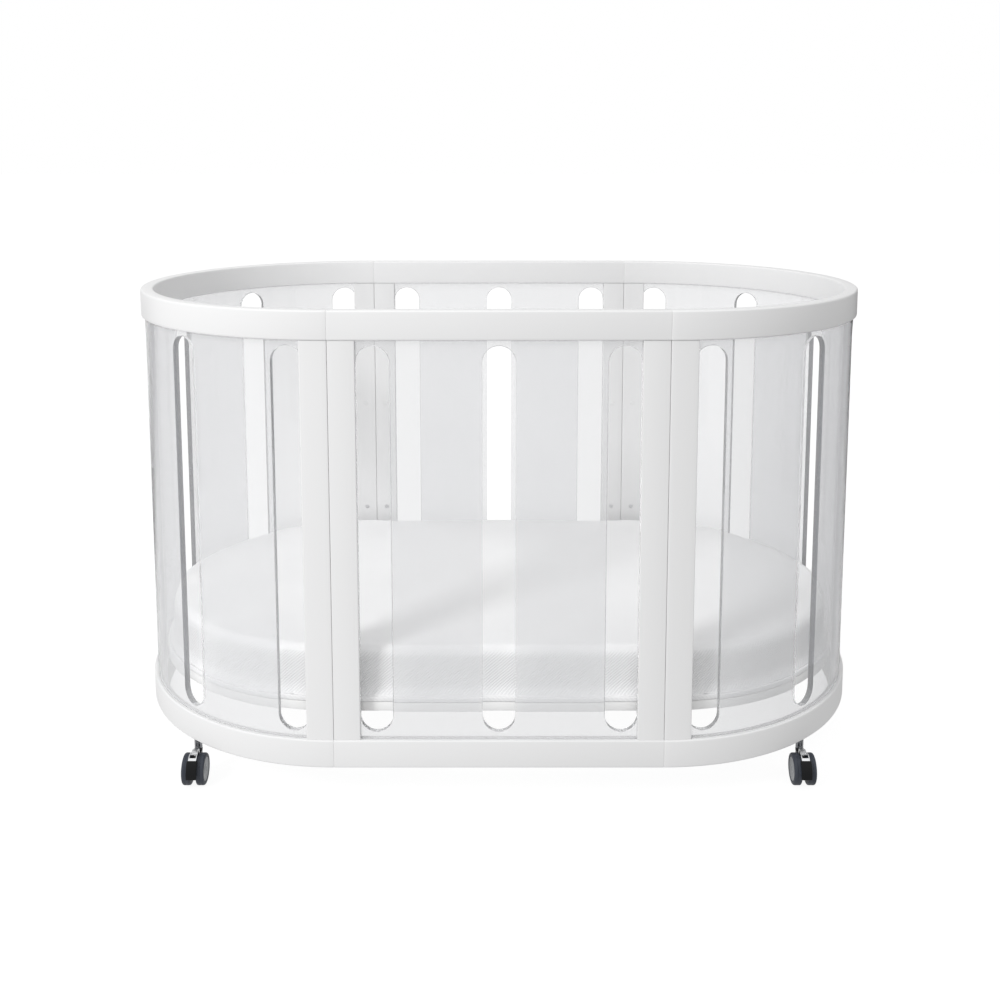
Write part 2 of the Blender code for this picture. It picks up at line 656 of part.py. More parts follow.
def add_casters():
    """Twin-wheel casters; each swivel is an empty on its stem's axis, at floor level."""
    right_wheel = wheel()
    left_wheel = right_wheel.copy()
    left_wheel.transform(Matrix.Rotation(math.pi, 4, "Z"))
    axle = rod((0.3e-3 - HOUSING_WIDTH / 2 - WHEEL_BORE_DEPTH, HUB_Y, WHEEL_RADIUS), (1, 0, 0),
               HOUSING_WIDTH + 2 * WHEEL_BORE_DEPTH - 0.6e-3, AXLE_RADIUS)
    wheel_x = HOUSING_WIDTH / 2 + WHEEL_TO_HOUSING
    shapes = {"stem": stem(), "housing": housing(), "axle": axle}
    finishes = {"stem": "chrome", "housing": "black_plastic", "axle": "steel"}
    tread = pedal()
    for corner, place in caster_places().items():
        swivel = add_pivot(f"swivel_{corner}", place)
        for piece, shape in shapes.items():
            add_object(f"caster_{piece}_{corner}", shape, finishes[piece], parent=swivel)
        for label, sign, shape in (("right", 1, right_wheel), ("left", -1, left_wheel)):
            add_object(f"wheel_{corner}_{label}", shape, "slate_tyre",
                       (sign * wheel_x, HUB_Y, WHEEL_RADIUS), parent=swivel)
        add_object(f"brake_pedal_{corner}", tread, "black_plastic",
                   (0, KNUCKLE_Y, KNUCKLE_HEIGHT), parent=swivel)


def main():
    clear_scene()
    add_frame()
    add_posts()
    add_joint_pins()
    add_base()
    add_cross_bars()
    add_brackets()
    add_mattress()
    add_casters()


main()
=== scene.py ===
import math

import bmesh
import bpy
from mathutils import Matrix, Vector, noise


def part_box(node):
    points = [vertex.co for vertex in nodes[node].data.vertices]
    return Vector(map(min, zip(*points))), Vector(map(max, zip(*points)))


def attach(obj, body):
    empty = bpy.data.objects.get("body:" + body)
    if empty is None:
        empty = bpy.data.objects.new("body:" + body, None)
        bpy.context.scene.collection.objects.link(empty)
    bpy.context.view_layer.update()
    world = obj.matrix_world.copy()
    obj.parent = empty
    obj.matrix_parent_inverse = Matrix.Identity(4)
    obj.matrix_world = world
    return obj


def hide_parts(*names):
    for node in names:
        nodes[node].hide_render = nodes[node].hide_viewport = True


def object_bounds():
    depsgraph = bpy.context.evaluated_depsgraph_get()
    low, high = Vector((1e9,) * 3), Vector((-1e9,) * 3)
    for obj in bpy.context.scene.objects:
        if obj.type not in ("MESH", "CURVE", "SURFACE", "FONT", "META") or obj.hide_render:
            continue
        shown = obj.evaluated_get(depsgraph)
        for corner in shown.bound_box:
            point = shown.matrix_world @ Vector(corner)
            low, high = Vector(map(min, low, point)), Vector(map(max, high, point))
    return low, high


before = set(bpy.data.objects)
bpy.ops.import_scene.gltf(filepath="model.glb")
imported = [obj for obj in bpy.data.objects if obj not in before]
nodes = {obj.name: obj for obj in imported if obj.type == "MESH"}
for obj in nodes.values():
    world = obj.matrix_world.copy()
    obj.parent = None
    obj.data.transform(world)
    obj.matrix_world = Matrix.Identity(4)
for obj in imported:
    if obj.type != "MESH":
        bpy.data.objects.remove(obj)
cad_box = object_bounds()
scene = bpy.context.scene
CORNERS = {
    "front_left": (-1, -1), "front_right": (1, -1),
    "back_left": (-1, 1), "back_right": (1, 1),
}


# ---------------------------------------------------------------- sizes, from the frame
def top_of(name):
    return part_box(name)[1][2]


def bottom_of(name):
    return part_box(name)[0][2]


LENGTH = cad_box[1][0] - cad_box[0][0]
WIDTH = cad_box[1][1] - cad_box[0][1]
RAIL_THICKNESS = 0.022
R_OUTER = WIDTH / 2
R_INNER = R_OUTER - RAIL_THICKNESS
R_MIDDLE = R_OUTER - RAIL_THICKNESS / 2
END_CENTRE = (LENGTH - WIDTH) / 2
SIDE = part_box("bottom_rail_front")[1][0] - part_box("bottom_rail_front")[0][0]
END = math.pi * R_MIDDLE
TOP_RAIL = (bottom_of("top_rail_front"), top_of("top_rail_front"))
BOTTOM_RAIL = (bottom_of("bottom_rail_front"), top_of("bottom_rail_front"))
LET_IN = 0.0005  # how far the shown panels reach into their grooves
PANEL = (BOTTOM_RAIL[1] - LET_IN, TOP_RAIL[0] + LET_IN)
PANEL_HALF = 0.005
GROOVE_HALF = PANEL_HALF + 0.0001
GROOVE_DEPTH = LET_IN + 0.0003
SLOT_RADIUS = 0.0255
POST_PAST = 0.0002  # how far the shown posts reach into the rails
POST = (bottom_of("side_post_front_left") - POST_PAST, top_of("side_post_front_left") + POST_PAST)
POST_WIDTH = 0.042
POST_HALF = 0.009
POST_INNER = R_MIDDLE - POST_HALF
POST_OUTER = R_MIDDLE + POST_HALF
BOARD = (bottom_of("base_board_middle"), top_of("base_board_middle"))
BOARD_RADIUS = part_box("base_board_middle")[1][1]
LEVELS = [BOARD[0] + rise for rise in (0.024, 0.122, 0.347)]  # rows of holes in the posts
LEVEL_HOLE = 0.0044  # radius
INSERT = LEVEL_HOLE - 0.00002
MATTRESS = (bottom_of("mattress"), top_of("mattress"))
MATTRESS_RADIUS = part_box("mattress")[1][1]
BAND_FOOT, BAND_HEAD = 0.010, 0.013  # from the mattress's faces to its knitted side band
WHEEL_RADIUS = 0.0254
WHEEL_WIDTH = 0.013
WHEEL_START = 0.00525  # from the middle of the caster to each wheel's inner face
TRAIL = 0.025  # from the stem back to the axle


# ---------------------------------------------------------------- node helpers
class Shade:
    """A material under construction: Principled shader, object coordinates and small helpers."""

    def __init__(self, name, colour, roughness, metallic=0.0, **settings):
        self.material = bpy.data.materials.new(name)
        self.material.use_nodes = True
        self.tree = self.material.node_tree
        self.shader = self.tree.nodes["Principled BSDF"]
        self.shader.inputs["Base Color"].default_value = (*colour, 1.0)
        self.shader.inputs["Roughness"].default_value = roughness
        self.shader.inputs["Metallic"].default_value = metallic
        for key, value in settings.items():
            self.shader.inputs[key.replace("_", " ")].default_value = value
        self.coordinates = self.node("ShaderNodeTexCoord").outputs["Object"]

    def node(self, kind, **properties):
        made = self.tree.nodes.new(kind)
        for key, value in properties.items():
            setattr(made, key, value)
        return made

    def feed(self, socket, value):
        if isinstance(value, (int, float, tuple)):
            socket.default_value = value
        else:
            self.tree.links.new(value, socket)

    def math(self, operation, first, second=0.0, third=0.0, clamp=False):
        made = self.node("ShaderNodeMath", operation=operation, use_clamp=clamp)
        for socket, value in zip(made.inputs, (first, second, third)):
            self.feed(socket, value)
        return made.outputs[0]

    def noise(self, scale, detail=2.0, vector=None, roughness=0.5):
        made = self.node("ShaderNodeTexNoise")
        self.feed(made.inputs["Vector"], vector or self.coordinates)
        made.inputs["Scale"].default_value = scale
        made.inputs["Detail"].default_value = detail
        made.inputs["Roughness"].default_value = roughness
        return made.outputs["Fac"]

    def spread(self, value, low, high, from_low=0.3, from_high=0.7):
        made = self.node("ShaderNodeMapRange")
        self.feed(made.inputs["Value"], value)
        for key, number in (("From Min", from_low), ("From Max", from_high),
                            ("To Min", low), ("To Max", high)):
            made.inputs[key].default_value = number
        return made.outputs["Result"]

    def stretched(self, x, y, z):
        made = self.node("ShaderNodeMapping")
        self.feed(made.inputs["Vector"], self.coordinates)
        made.inputs["Scale"].default_value = (x, y, z)
        return made.outputs["Vector"]

    def mix(self, factor, first, second):
        made = self.node("ShaderNodeMix", data_type="RGBA")
        self.feed(made.inputs["Factor"], factor)
        for socket, colour in ((made.inputs["A"], first), (made.inputs["B"], second)):
            plain = isinstance(colour, tuple) and len(colour) == 3
            self.feed(socket, (*colour, 1.0) if plain else colour)
        return made.outputs["Result"]

    def colour(self, factor, first, second):
        self.feed(self.shader.inputs["Base Color"], self.mix(factor, first, second))

    def roughness(self, value):
        self.feed(self.shader.inputs["Roughness"], value)

    def bump(self, height, distance, strength=1.0):
        made = self.node("ShaderNodeBump")
        made.inputs["Strength"].default_value = strength
        made.inputs["Distance"].default_value = distance
        self.feed(made.inputs["Height"], height)
        self.feed(self.shader.inputs["Normal"], made.outputs["Normal"])


def speckled(name, colour, roughness, vary, grain, depth, rough_vary=0.05, **settings):
    """Moulded or painted finish: broad tone drift, uneven gloss and a fine grain."""
    s = Shade(name, colour, roughness, **settings)
    darker = tuple(c * (1 - vary) for c in colour)
    lighter = tuple(min(1.0, c * (1 + vary)) for c in colour)
    s.colour(s.spread(s.noise(6.0, 5.0), 0.0, 1.0, 0.2, 0.8), darker, lighter)
    s.roughness(s.spread(s.noise(18.0, 4.0), roughness - rough_vary, roughness + rough_vary))
    s.bump(s.noise(grain, 3.0), depth)
    return s.material


lacquer = speckled("white_lacquer", (0.785, 0.785, 0.787), 0.34, vary=0.003, grain=380.0,
                   depth=0.00001, rough_vary=0.03)
board_paint = speckled("white_board", (0.86, 0.86, 0.856), 0.48, vary=0.012, grain=700.0,
                       depth=0.00006)
painted_steel = speckled("bracket_steel", (0.55, 0.56, 0.57), 0.42, vary=0.02, grain=1500.0,
                         depth=0.00006)
black_plastic = speckled("caster_housing", (0.012, 0.012, 0.014), 0.42, vary=0.15, grain=2600.0,
                         depth=0.00005)
pedal_plastic = speckled("caster_pedal", (0.006, 0.0065, 0.007), 0.50, vary=0.15, grain=2600.0,
                         depth=0.00003, Specular_IOR_Level=0.2)
tyre_rubber = speckled("caster_tyre", (0.040, 0.046, 0.060), 0.50, vary=0.10, grain=3200.0,
                       depth=0.00005, Specular_IOR_Level=0.35)
disc_plastic = speckled("wheel_disc", (0.27, 0.28, 0.29), 0.38, vary=0.06, grain=2600.0,
                        depth=0.00004)


def brushed(name, colour, roughness, stretch):
    """Metal with fine lines along the axis that is stretched."""
    s = Shade(name, colour, roughness, 1.0)
    streaks = s.noise(900.0, 4.0, s.stretched(*stretch))
    s.colour(streaks, tuple(c * 0.93 for c in colour), colour)
    s.roughness(s.spread(streaks, roughness - 0.05, roughness + 0.07))
    s.bump(streaks, 0.00001)
    return s.material


chrome = brushed("caster_chrome", (0.30, 0.305, 0.32), 0.14, (1, 1, 0.08))
silver = brushed("pedal_arm_silver", (0.78, 0.79, 0.80), 0.22, (0.06, 1, 1))
pin_steel = brushed("pin_steel", (0.58, 0.58, 0.60), 0.25, (0.05, 1, 1))
axle_steel = brushed("axle_steel", (0.55, 0.56, 0.58), 0.25, (0.05, 1, 1))
insert_steel = brushed("insert_steel", (0.80, 0.80, 0.81), 0.45, (1, 1, 1))


def clear_acrylic(name, colour, clear):
    """Bends light for the eye, dims it along its way through, and lets lamps and bounced light
    straight through."""
    s = Shade(name, colour, 0.0, 0.0, Transmission_Weight=clear, IOR=1.49)
    s.roughness(s.spread(s.noise(9.0, 3.0), 0.0, 0.012, 0.45, 0.75))
    path = s.node("ShaderNodeLightPath")
    passing = s.node("ShaderNodeBsdfTransparent")
    passing.inputs["Color"].default_value = (1.0, 1.0, 1.0, 1.0)
    mixed = s.node("ShaderNodeMixShader")
    either = s.math("MAXIMUM", path.outputs["Is Shadow Ray"], path.outputs["Is Diffuse Ray"])
    s.feed(mixed.inputs[0], either)
    s.feed(mixed.inputs[1], s.shader.outputs[0])
    s.feed(mixed.inputs[2], passing.outputs[0])
    s.feed(s.tree.nodes["Material Output"].inputs["Surface"], mixed.outputs[0])
    within = s.node("ShaderNodeVolumeAbsorption")
    within.inputs["Color"].default_value = (0.20, 0.22, 0.27, 1.0)
    within.inputs["Density"].default_value = 11.5
    s.feed(s.tree.nodes["Material Output"].inputs["Volume"], within.outputs[0])
    return s.material


acrylic = clear_acrylic("clear_acrylic", (0.95, 0.95, 0.953), 0.81)
# The two slot-wall copies of the acrylic are tinted darker than the sheet. This is painted shade
# standing in for the dark lines that polished slot edges show, and the round ends' walls carry a
# deeper painted shade.
acrylic_painted_shade_edge = clear_acrylic("clear_acrylic_painted_shade_edge", (0.66, 0.67, 0.70), 1.0)
acrylic_painted_darker_end_edge = clear_acrylic("clear_acrylic_painted_darker_shade_end_edge", (0.40, 0.41, 0.44), 1.0)


def mattress_cloth():
    """Smooth jersey on top; round the sides a thicker knit with slanted ribs. The UV map holds
    metres: along the edge and up on the sides, across and along on the top."""
    s = Shade("mattress_cloth", (0.86, 0.86, 0.865), 0.85, 0.0, Sheen_Weight=0.25,
              Sheen_Roughness=0.5)
    place = s.node("ShaderNodeSeparateXYZ")
    s.feed(place.inputs[0], s.node("ShaderNodeUVMap", uv_map="metres").outputs[0])
    u, v = place.outputs[0], place.outputs[1]
    height = s.node("ShaderNodeSeparateXYZ")
    s.feed(height.inputs[0], s.coordinates)
    z = height.outputs[2]
    band_low, band_high = MATTRESS[0] + BAND_FOOT, MATTRESS[1] - BAND_HEAD
    rising = s.spread(z, 0.0, 1.0, band_low - 0.001, band_low + 0.001)
    falling = s.spread(z, 1.0, 0.0, band_high - 0.0015, band_high + 0.0015)
    on_side = s.math("MULTIPLY", rising, falling)

    def wave(pitch, slope, waver):
        slant = s.math("MULTIPLY_ADD", v, slope, u)
        slant = s.math("ADD", slant, s.math("MULTIPLY", s.noise(22.0, 2.0), waver))
        return s.math("SINE", s.math("MULTIPLY", slant, math.tau / pitch))

    ribs = s.math("MULTIPLY_ADD", wave(0.0058, -1.15, 0.004), 0.5, 0.5)
    cross = s.math("MULTIPLY_ADD", wave(0.0019, 1.0, 0.001), 0.5, 0.5)
    knit = s.math("MULTIPLY_ADD", cross, 0.3, s.math("MULTIPLY", ribs, 0.7))
    loops_u = s.math("SINE", s.math("MULTIPLY", u, math.tau / 0.0014))
    loops_v = s.math("SINE", s.math("MULTIPLY", v, math.tau / 0.0011))
    jersey = s.math("MULTIPLY_ADD", s.math("MULTIPLY", loops_u, loops_v), 0.18, 0.5)
    cloth = s.math("ADD", s.math("MULTIPLY", knit, on_side),
                   s.math("MULTIPLY", jersey, s.math("SUBTRACT", 1.0, on_side)))
    fuzz = s.math("MULTIPLY_ADD", s.noise(1800.0, 2.0), 0.25, cloth)
    shade = s.math("MULTIPLY", s.math("SUBTRACT", 1.0, ribs), on_side)
    patchy = s.spread(s.noise(9.0, 3.0), 0.0, 0.12)
    s.colour(s.math("MULTIPLY_ADD", shade, 0.60, patchy, clamp=True),
             (0.93, 0.93, 0.933), (0.76, 0.763, 0.772))
    s.roughness(s.spread(fuzz, 0.80, 0.95, 0.2, 1.0))
    s.bump(fuzz, 0.0010, 0.7)
    return s.material


def plain_cloth(name, colour, pitch):
    s = Shade(name, colour, 0.85, 0.0, Sheen_Weight=0.2)
    weave = s.node("ShaderNodeTexWave", bands_direction="DIAGONAL")
    s.feed(weave.inputs["Vector"], s.coordinates)
    weave.inputs["Scale"].default_value = 1.0 / pitch
    weave.inputs["Distortion"].default_value = 0.6
    s.colour(weave.outputs["Fac"], tuple(c * 0.95 for c in colour), colour)
    s.roughness(s.spread(s.noise(400.0), 0.78, 0.92))
    s.bump(weave.outputs["Fac"], 0.0002)
    return s.material


cloth = mattress_cloth()
tape = plain_cloth("welt_tape", (0.86, 0.86, 0.865), 0.012)


# ---------------------------------------------------------------- mesh helpers
def side_point(s, r, z):
    return Vector((s - SIDE / 2, -r, z))


def end_point(s, r, z):
    turn = s / R_MIDDLE
    return Vector((END_CENTRE + r * math.sin(turn), -r * math.cos(turn), z))


def turned(place):
    def opposite(s, r, z):
        point = place(s, r, z)
        return Vector((-point.x, -point.y, z))
    return opposite


MODULES = {
    "front": (side_point, SIDE), "back": (turned(side_point), SIDE),
    "right": (end_point, END), "left": (turned(end_point), END),
}


def outward(bm):
    bmesh.ops.recalc_face_normals(bm, faces=bm.faces)
    if bm.calc_volume(signed=True) < 0:
        bmesh.ops.reverse_faces(bm, faces=bm.faces)


def mesh_of(bm, name="shape"):
    outward(bm)
    mesh = bpy.data.meshes.new(name)
    bm.to_mesh(mesh)
    bm.free()
    return mesh


def piece(name, mesh, material, body, replaced=(), sharp=32):
    obj = bpy.data.objects.new(name, mesh)
    mesh.name = name
    scene.collection.objects.link(obj)
    mesh.materials.clear()
    mesh.materials.append(material)
    mesh.shade_smooth()
    mesh.set_sharp_from_angle(angle=math.radians(sharp))
    if replaced:
        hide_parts(*replaced)
    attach(obj, body)
    return obj


def loft_into(bm, rings, loop=False):
    rows = [[bm.verts.new(point) for point in ring] for ring in rings]
    pairs = list(zip(rows, rows[1:]))
    if loop:
        pairs.append((rows[-1], rows[0]))
    else:
        bm.faces.new(rows[0])
        bm.faces.new(rows[-1])
    for first, second in pairs:
        for i in range(len(first)):
            j = (i + 1) % len(first)
            bm.faces.new((first[i], first[j], second[j], second[i]))


def loft(rings, loop=False):
    bm = bmesh.new()
    loft_into(bm, rings, loop)
    return mesh_of(bm)


def combine(mesh, others, operation="DIFFERENCE"):
    body = bpy.data.objects.new("body", mesh)
    scene.collection.objects.link(body)
    tools = []
    for other in others:
        tool = bpy.data.objects.new("tool", other)
        scene.collection.objects.link(tool)
        modifier = body.modifiers.new("cut", "BOOLEAN")
        modifier.operation = operation
        modifier.solver = "EXACT"
        modifier.object = tool
        tools.append(tool)
    result = bpy.data.meshes.new_from_object(
        body.evaluated_get(bpy.context.evaluated_depsgraph_get()))
    for used in (body, *tools):
        bpy.data.objects.remove(used, do_unlink=True)
    return result


def modified(mesh, kind, **settings):
    """The mesh after one modifier."""
    body = bpy.data.objects.new("body", mesh)
    scene.collection.objects.link(body)
    modifier = body.modifiers.new("change", kind)
    for key, value in settings.items():
        setattr(modifier, key, value)
    result = bpy.data.meshes.new_from_object(
        body.evaluated_get(bpy.context.evaluated_depsgraph_get()))
    bpy.data.objects.remove(body, do_unlink=True)
    return result


def bevelled(mesh, width, segments=3, angle=30):
    return modified(mesh, "BEVEL", width=width, segments=segments, limit_method="ANGLE",
                    angle_limit=math.radians(angle), harden_normals=False)


def ring_of(centre, axis, radius, sides):
    axis = Vector(axis).normalized()
    across = Vector((0, 0, 1)) if abs(axis.z) < 0.9 else Vector((1, 0, 0))
    across = (across - axis * across.dot(axis)).normalized()
    other = axis.cross(across)
    return [Vector(centre) + radius * (math.cos(math.tau * i / sides) * across
                                       + math.sin(math.tau * i / sides) * other)
            for i in range(sides)]


def turned_into(bm, origin, axis, profile, sides=48):
    """A closed solid of revolution from (along, radius) pairs; radius 0 closes to a point row."""
    axis = Vector(axis).normalized()
    rings = [ring_of(Vector(origin) + axis * along, axis, max(radius, 1e-5), sides)
             for along, radius in profile]
    loft_into(bm, rings)


def turned_mesh(origin, axis, profile, sides=48):
    bm = bmesh.new()
    turned_into(bm, origin, axis, profile, sides)
    return mesh_of(bm)


def rounded(profile, radius, steps=4):
    """Rounds the inner corners of an open (a, b) profile."""
    points = [profile[0]]
    for before, corner, after in zip(profile, profile[1:], profile[2:]):
        first = Vector(before) - Vector(corner)
        second = Vector(after) - Vector(corner)
        reach = min(radius, first.length * 0.49, second.length * 0.49)
        start = Vector(corner) + first.normalized() * reach
        end = Vector(corner) + second.normalized() * reach
        for i in range(steps + 1):
            t = i / steps
            points.append(tuple((1 - t) ** 2 * start + 2 * t * (1 - t) * Vector(corner)
                                + t ** 2 * end))
    points.append(profile[-1])
    return points


# ---------------------------------------------------------------- rails
def rail_section(z, grooved_up, inset):
    """Outline of a rail across its length: rounded corners and the groove for the panel."""
    low, high = z[0] + inset, z[1] - inset
    near, far = R_INNER + inset, R_OUTER - inset
    rounding, steps = 0.0030, 5
    points = []
    for (r, height), start in (((far, high), 0), ((near, high), 90),
                               ((near, low), 180), ((far, low), 270)):
        centre_r = r - rounding if r == far else r + rounding
        centre_z = height - rounding if height == high else height + rounding
        for i in range(steps + 1):
            angle = math.radians(start + 90 * i / steps)
            points.append((centre_r + rounding * math.cos(angle),
                           centre_z + rounding * math.sin(angle)))
    mouth = high if grooved_up else low
    floor = z[1] - GROOVE_DEPTH if grooved_up else z[0] + GROOVE_DEPTH
    first, second = (GROOVE_HALF, -GROOVE_HALF) if grooved_up else (-GROOVE_HALF, GROOVE_HALF)
    groove = [(R_MIDDLE + first, mouth), (R_MIDDLE + first, floor),
              (R_MIDDLE + second, floor), (R_MIDDLE + second, mouth)]
    after = (steps + 1) if grooved_up else 3 * (steps + 1)
    return points[:after] + groove + points[after:]


def rail(place, length, z, grooved_up):
    """One module of a rail, with rounded ends that run a hair past the joint."""
    chamfer, steps, past = 0.0011, 4, 0.0003
    lead = []
    for i in range(steps + 1):
        angle = math.pi / 2 * i / steps
        lead.append((chamfer * (1 - math.cos(angle)), chamfer * (1 - math.sin(angle))))
    count = 1 if length == SIDE else 150
    stations = lead[:-1]
    stations += [(chamfer + (length - 2 * chamfer) * i / count, 0.0) for i in range(count + 1)]
    stations += [(length - s, inset) for s, inset in reversed(lead[:-1])]
    stations = [((s - length / 2) * (1 + 2 * past / length) + length / 2, inset)
                for s, inset in stations]
    return loft([[place(s, r, height) for r, height in rail_section(z, grooved_up, inset)]
                 for s, inset in stations])


for label, (place, length) in MODULES.items():
    for kind, z, grooved_up in (("top_rail", TOP_RAIL, False), ("bottom_rail", BOTTOM_RAIL, True)):
        piece(f"{kind}_{label}_smooth", rail(place, length, z, grooved_up), lacquer, "crib",
              [f"{kind}_{label}"], 40)


# ---------------------------------------------------------------- posts, level inserts
def post_section(length):
    """Outline of a post from above, cut finer in the round ends so that it follows the curve."""
    rounding, steps = 0.0013, 4
    groove = POST_WIDTH - GROOVE_DEPTH
    points = []
    corners = (((0, POST_INNER), 180), ((POST_WIDTH, POST_INNER), 270))
    for (s, r), start in corners:
        centre_s = s + rounding if s == 0 else s - rounding
        for i in range(steps + 1):
            angle = math.radians(start + 90 * i / steps)
            points.append((centre_s + rounding * math.cos(angle),
                           r + rounding + rounding * math.sin(angle)))
    points += [(POST_WIDTH, R_MIDDLE - GROOVE_HALF), (groove, R_MIDDLE - GROOVE_HALF),
               (groove, R_MIDDLE + GROOVE_HALF), (POST_WIDTH, R_MIDDLE + GROOVE_HALF)]
    for (s, r), start in (((POST_WIDTH, POST_OUTER), 0), ((0, POST_OUTER), 90)):
        centre_s = s + rounding if s == 0 else s - rounding
        for i in range(steps + 1):
            angle = math.radians(start + 90 * i / steps)
            points.append((centre_s + rounding * math.cos(angle),
                           r - rounding + rounding * math.sin(angle)))
    if length == SIDE:
        return points
    finer = []
    for (s, r), (next_s, next_r) in zip(points, points[1:] + points[:1]):
        pieces = max(1, math.ceil(abs(next_s - s) / 0.005))
        finer += [(s + (next_s - s) * i / pieces, r + (next_r - r) * i / pieces)
                  for i in range(pieces)]
    return finer


PLUG_PROFILE = rounded([(0.0060, 0.0), (0.0060, INSERT), (0.0, INSERT), (-0.0004, 0.0036),
                        (-0.0004, 0.0)], 0.0004, 3)
INSERT_PROFILE = rounded([(0.0075, 0.0), (0.0075, INSERT), (0.0001, INSERT), (0.0001, 0.0031),
                          (0.0013, 0.0029), (0.0013, 0.0)], 0.0003, 2)
inserts, plugs = bmesh.new(), bmesh.new()
POSTS = {
    "side_post_front_left": ("front", False), "side_post_front_right": ("front", True),
    "side_post_back_right": ("back", False), "side_post_back_left": ("back", True),
    "end_post_front_right": ("right", False), "end_post_back_right": ("right", True),
    "end_post_back_left": ("left", False), "end_post_front_left": ("left", True),
}
for name, (label, far) in POSTS.items():
    place, length = MODULES[label]

    def seat(s, r, z):
        return place(length - s if far else s, r, z)

    section = post_section(length)
    body = loft([[seat(s, r, z) for s, r in section] for z in POST])
    holes = []
    for height in LEVELS:
        mouth = seat(POST_WIDTH / 2, POST_INNER, height)
        into = (seat(POST_WIDTH / 2, POST_OUTER, height) - mouth).normalized()
        holes.append(turned_mesh(mouth, into, [(-0.005, LEVEL_HOLE), (0.008, LEVEL_HOLE)], 24))
        if height == LEVELS[-1]:
            turned_into(plugs, mouth, into, PLUG_PROFILE, 24)
        else:
            turned_into(inserts, mouth, into, INSERT_PROFILE, 24)
    piece(f"{name}_smooth", combine(body, holes), lacquer, "crib", [name], 40)
piece("level_hole_inserts", mesh_of(inserts), insert_steel, "crib")
piece("level_hole_plugs", mesh_of(plugs), lacquer, "crib")


# ---------------------------------------------------------------- clear panels
def clear_panel(place, length, centres, slot_z):
    """Two faces cut in upright strips round the slots, polished slot walls with a small bevel."""
    bevel, quarter = 0.0006, 14
    inner, outer = R_MIDDLE - PANEL_HALF, R_MIDDLE + PANEL_HALF
    start, stop = POST_WIDTH - LET_IN, length - POST_WIDTH + LET_IN
    low, high = PANEL
    reach = SLOT_RADIUS + bevel
    angles = [math.pi * i / (2 * quarter) for i in range(2 * quarter + 1)]
    bm = bmesh.new()
    known = {}

    def corner(s, r, z):
        key = (round(s, 6), round(r, 6), round(z, 6))
        if key not in known:
            known[key] = bm.verts.new(place(s, r, z))
        return known[key]

    def plain_stations(first, last):
        count = 1 if length == SIDE else max(1, math.ceil((last - first) / 0.008))
        return [first + (last - first) * i / count for i in range(count + 1)]

    columns = []
    at = start
    for centre in centres:
        solid = plain_stations(at, centre - reach)
        columns += [(a, None, b, None) for a, b in zip(solid, solid[1:])]
        arch = [(centre - reach * math.cos(a), reach * math.sin(a)) for a in angles]
        columns += [(a[0], a[1], b[0], b[1]) for a, b in zip(arch, arch[1:])]
        at = centre + reach
    solid = plain_stations(at, stop)
    columns += [(a, None, b, None) for a, b in zip(solid, solid[1:])]
    edges = {round(centre + side * reach, 6) for centre in centres for side in (-1, 1)}
    cut_low, cut_high = slot_z[0] + SLOT_RADIUS, slot_z[1] - SLOT_RADIUS
    for r in (inner, outer):
        for a, rise_a, b, rise_b in columns:
            if rise_a is None:
                right = [corner(b, r, low)]
                left = [corner(a, r, high)]
                if round(b, 6) in edges:
                    right += [corner(b, r, cut_low), corner(b, r, cut_high)]
                right += [corner(b, r, high)]
                if round(a, 6) in edges:
                    left += [corner(a, r, cut_high), corner(a, r, cut_low)]
                bm.faces.new([corner(a, r, low)] + right + left)
            else:
                bm.faces.new([corner(a, r, low), corner(b, r, low),
                              corner(b, r, cut_low - rise_b), corner(a, r, cut_low - rise_a)])
                bm.faces.new([corner(a, r, high), corner(b, r, high),
                              corner(b, r, cut_high + rise_b), corner(a, r, cut_high + rise_a)])
    for a, _, b, _ in columns:
        for z in (low, high):
            bm.faces.new([corner(a, inner, z), corner(b, inner, z),
                          corner(b, outer, z), corner(a, outer, z)])
    for s in (start, stop):
        bm.faces.new([corner(s, inner, low), corner(s, outer, low),
                      corner(s, outer, high), corner(s, inner, high)])
    for centre in centres:
        rings = []
        for r, grow in ((inner, bevel), (inner + bevel, 0.0), (outer - bevel, 0.0), (outer, bevel)):
            size = SLOT_RADIUS + grow
            ring = [corner(centre - size * math.cos(a), r, cut_high + size * math.sin(a))
                    for a in angles]
            ring += [corner(centre + size * math.cos(a), r, cut_low - size * math.sin(a))
                     for a in angles]
            rings.append(ring)
        # The slot walls take the panel's second material, whose darker tint is painted shade.
        for first, second in zip(rings, rings[1:]):
            for i in range(len(first)):
                j = (i + 1) % len(first)
                bm.faces.new((first[i], first[j], second[j], second[i])).material_index = 1
    return mesh_of(bm)


SLOT_Z = (BOTTOM_RAIL[1] + 0.012, TOP_RAIL[0] - 0.009)
side_first = POST_WIDTH + 0.0006 + SLOT_RADIUS
end_first = POST_WIDTH - 0.0048 + SLOT_RADIUS
SIDE_SLOTS = [side_first + (SIDE - 2 * side_first) * i / 2 for i in range(3)]
END_SLOTS = [end_first + (END - 2 * end_first) * i / 5 for i in range(6)]
for label, (place, length) in MODULES.items():
    centres = SIDE_SLOTS if length == SIDE else END_SLOTS
    sheet = piece(f"panel_{label}_clear", clear_panel(place, length, centres, SLOT_Z), acrylic,
                  "crib", [f"panel_{label}"], 30)
    # The second material, for the slot walls, is tinted darker as painted shade, and darker still
    # on the round ends.
    sheet.data.materials.append(acrylic_painted_shade_edge if length == SIDE else acrylic_painted_darker_end_edge)


# ---------------------------------------------------------------- base
def prism(outline, direction):
    return loft([outline, [point + Vector(direction) for point in outline]])


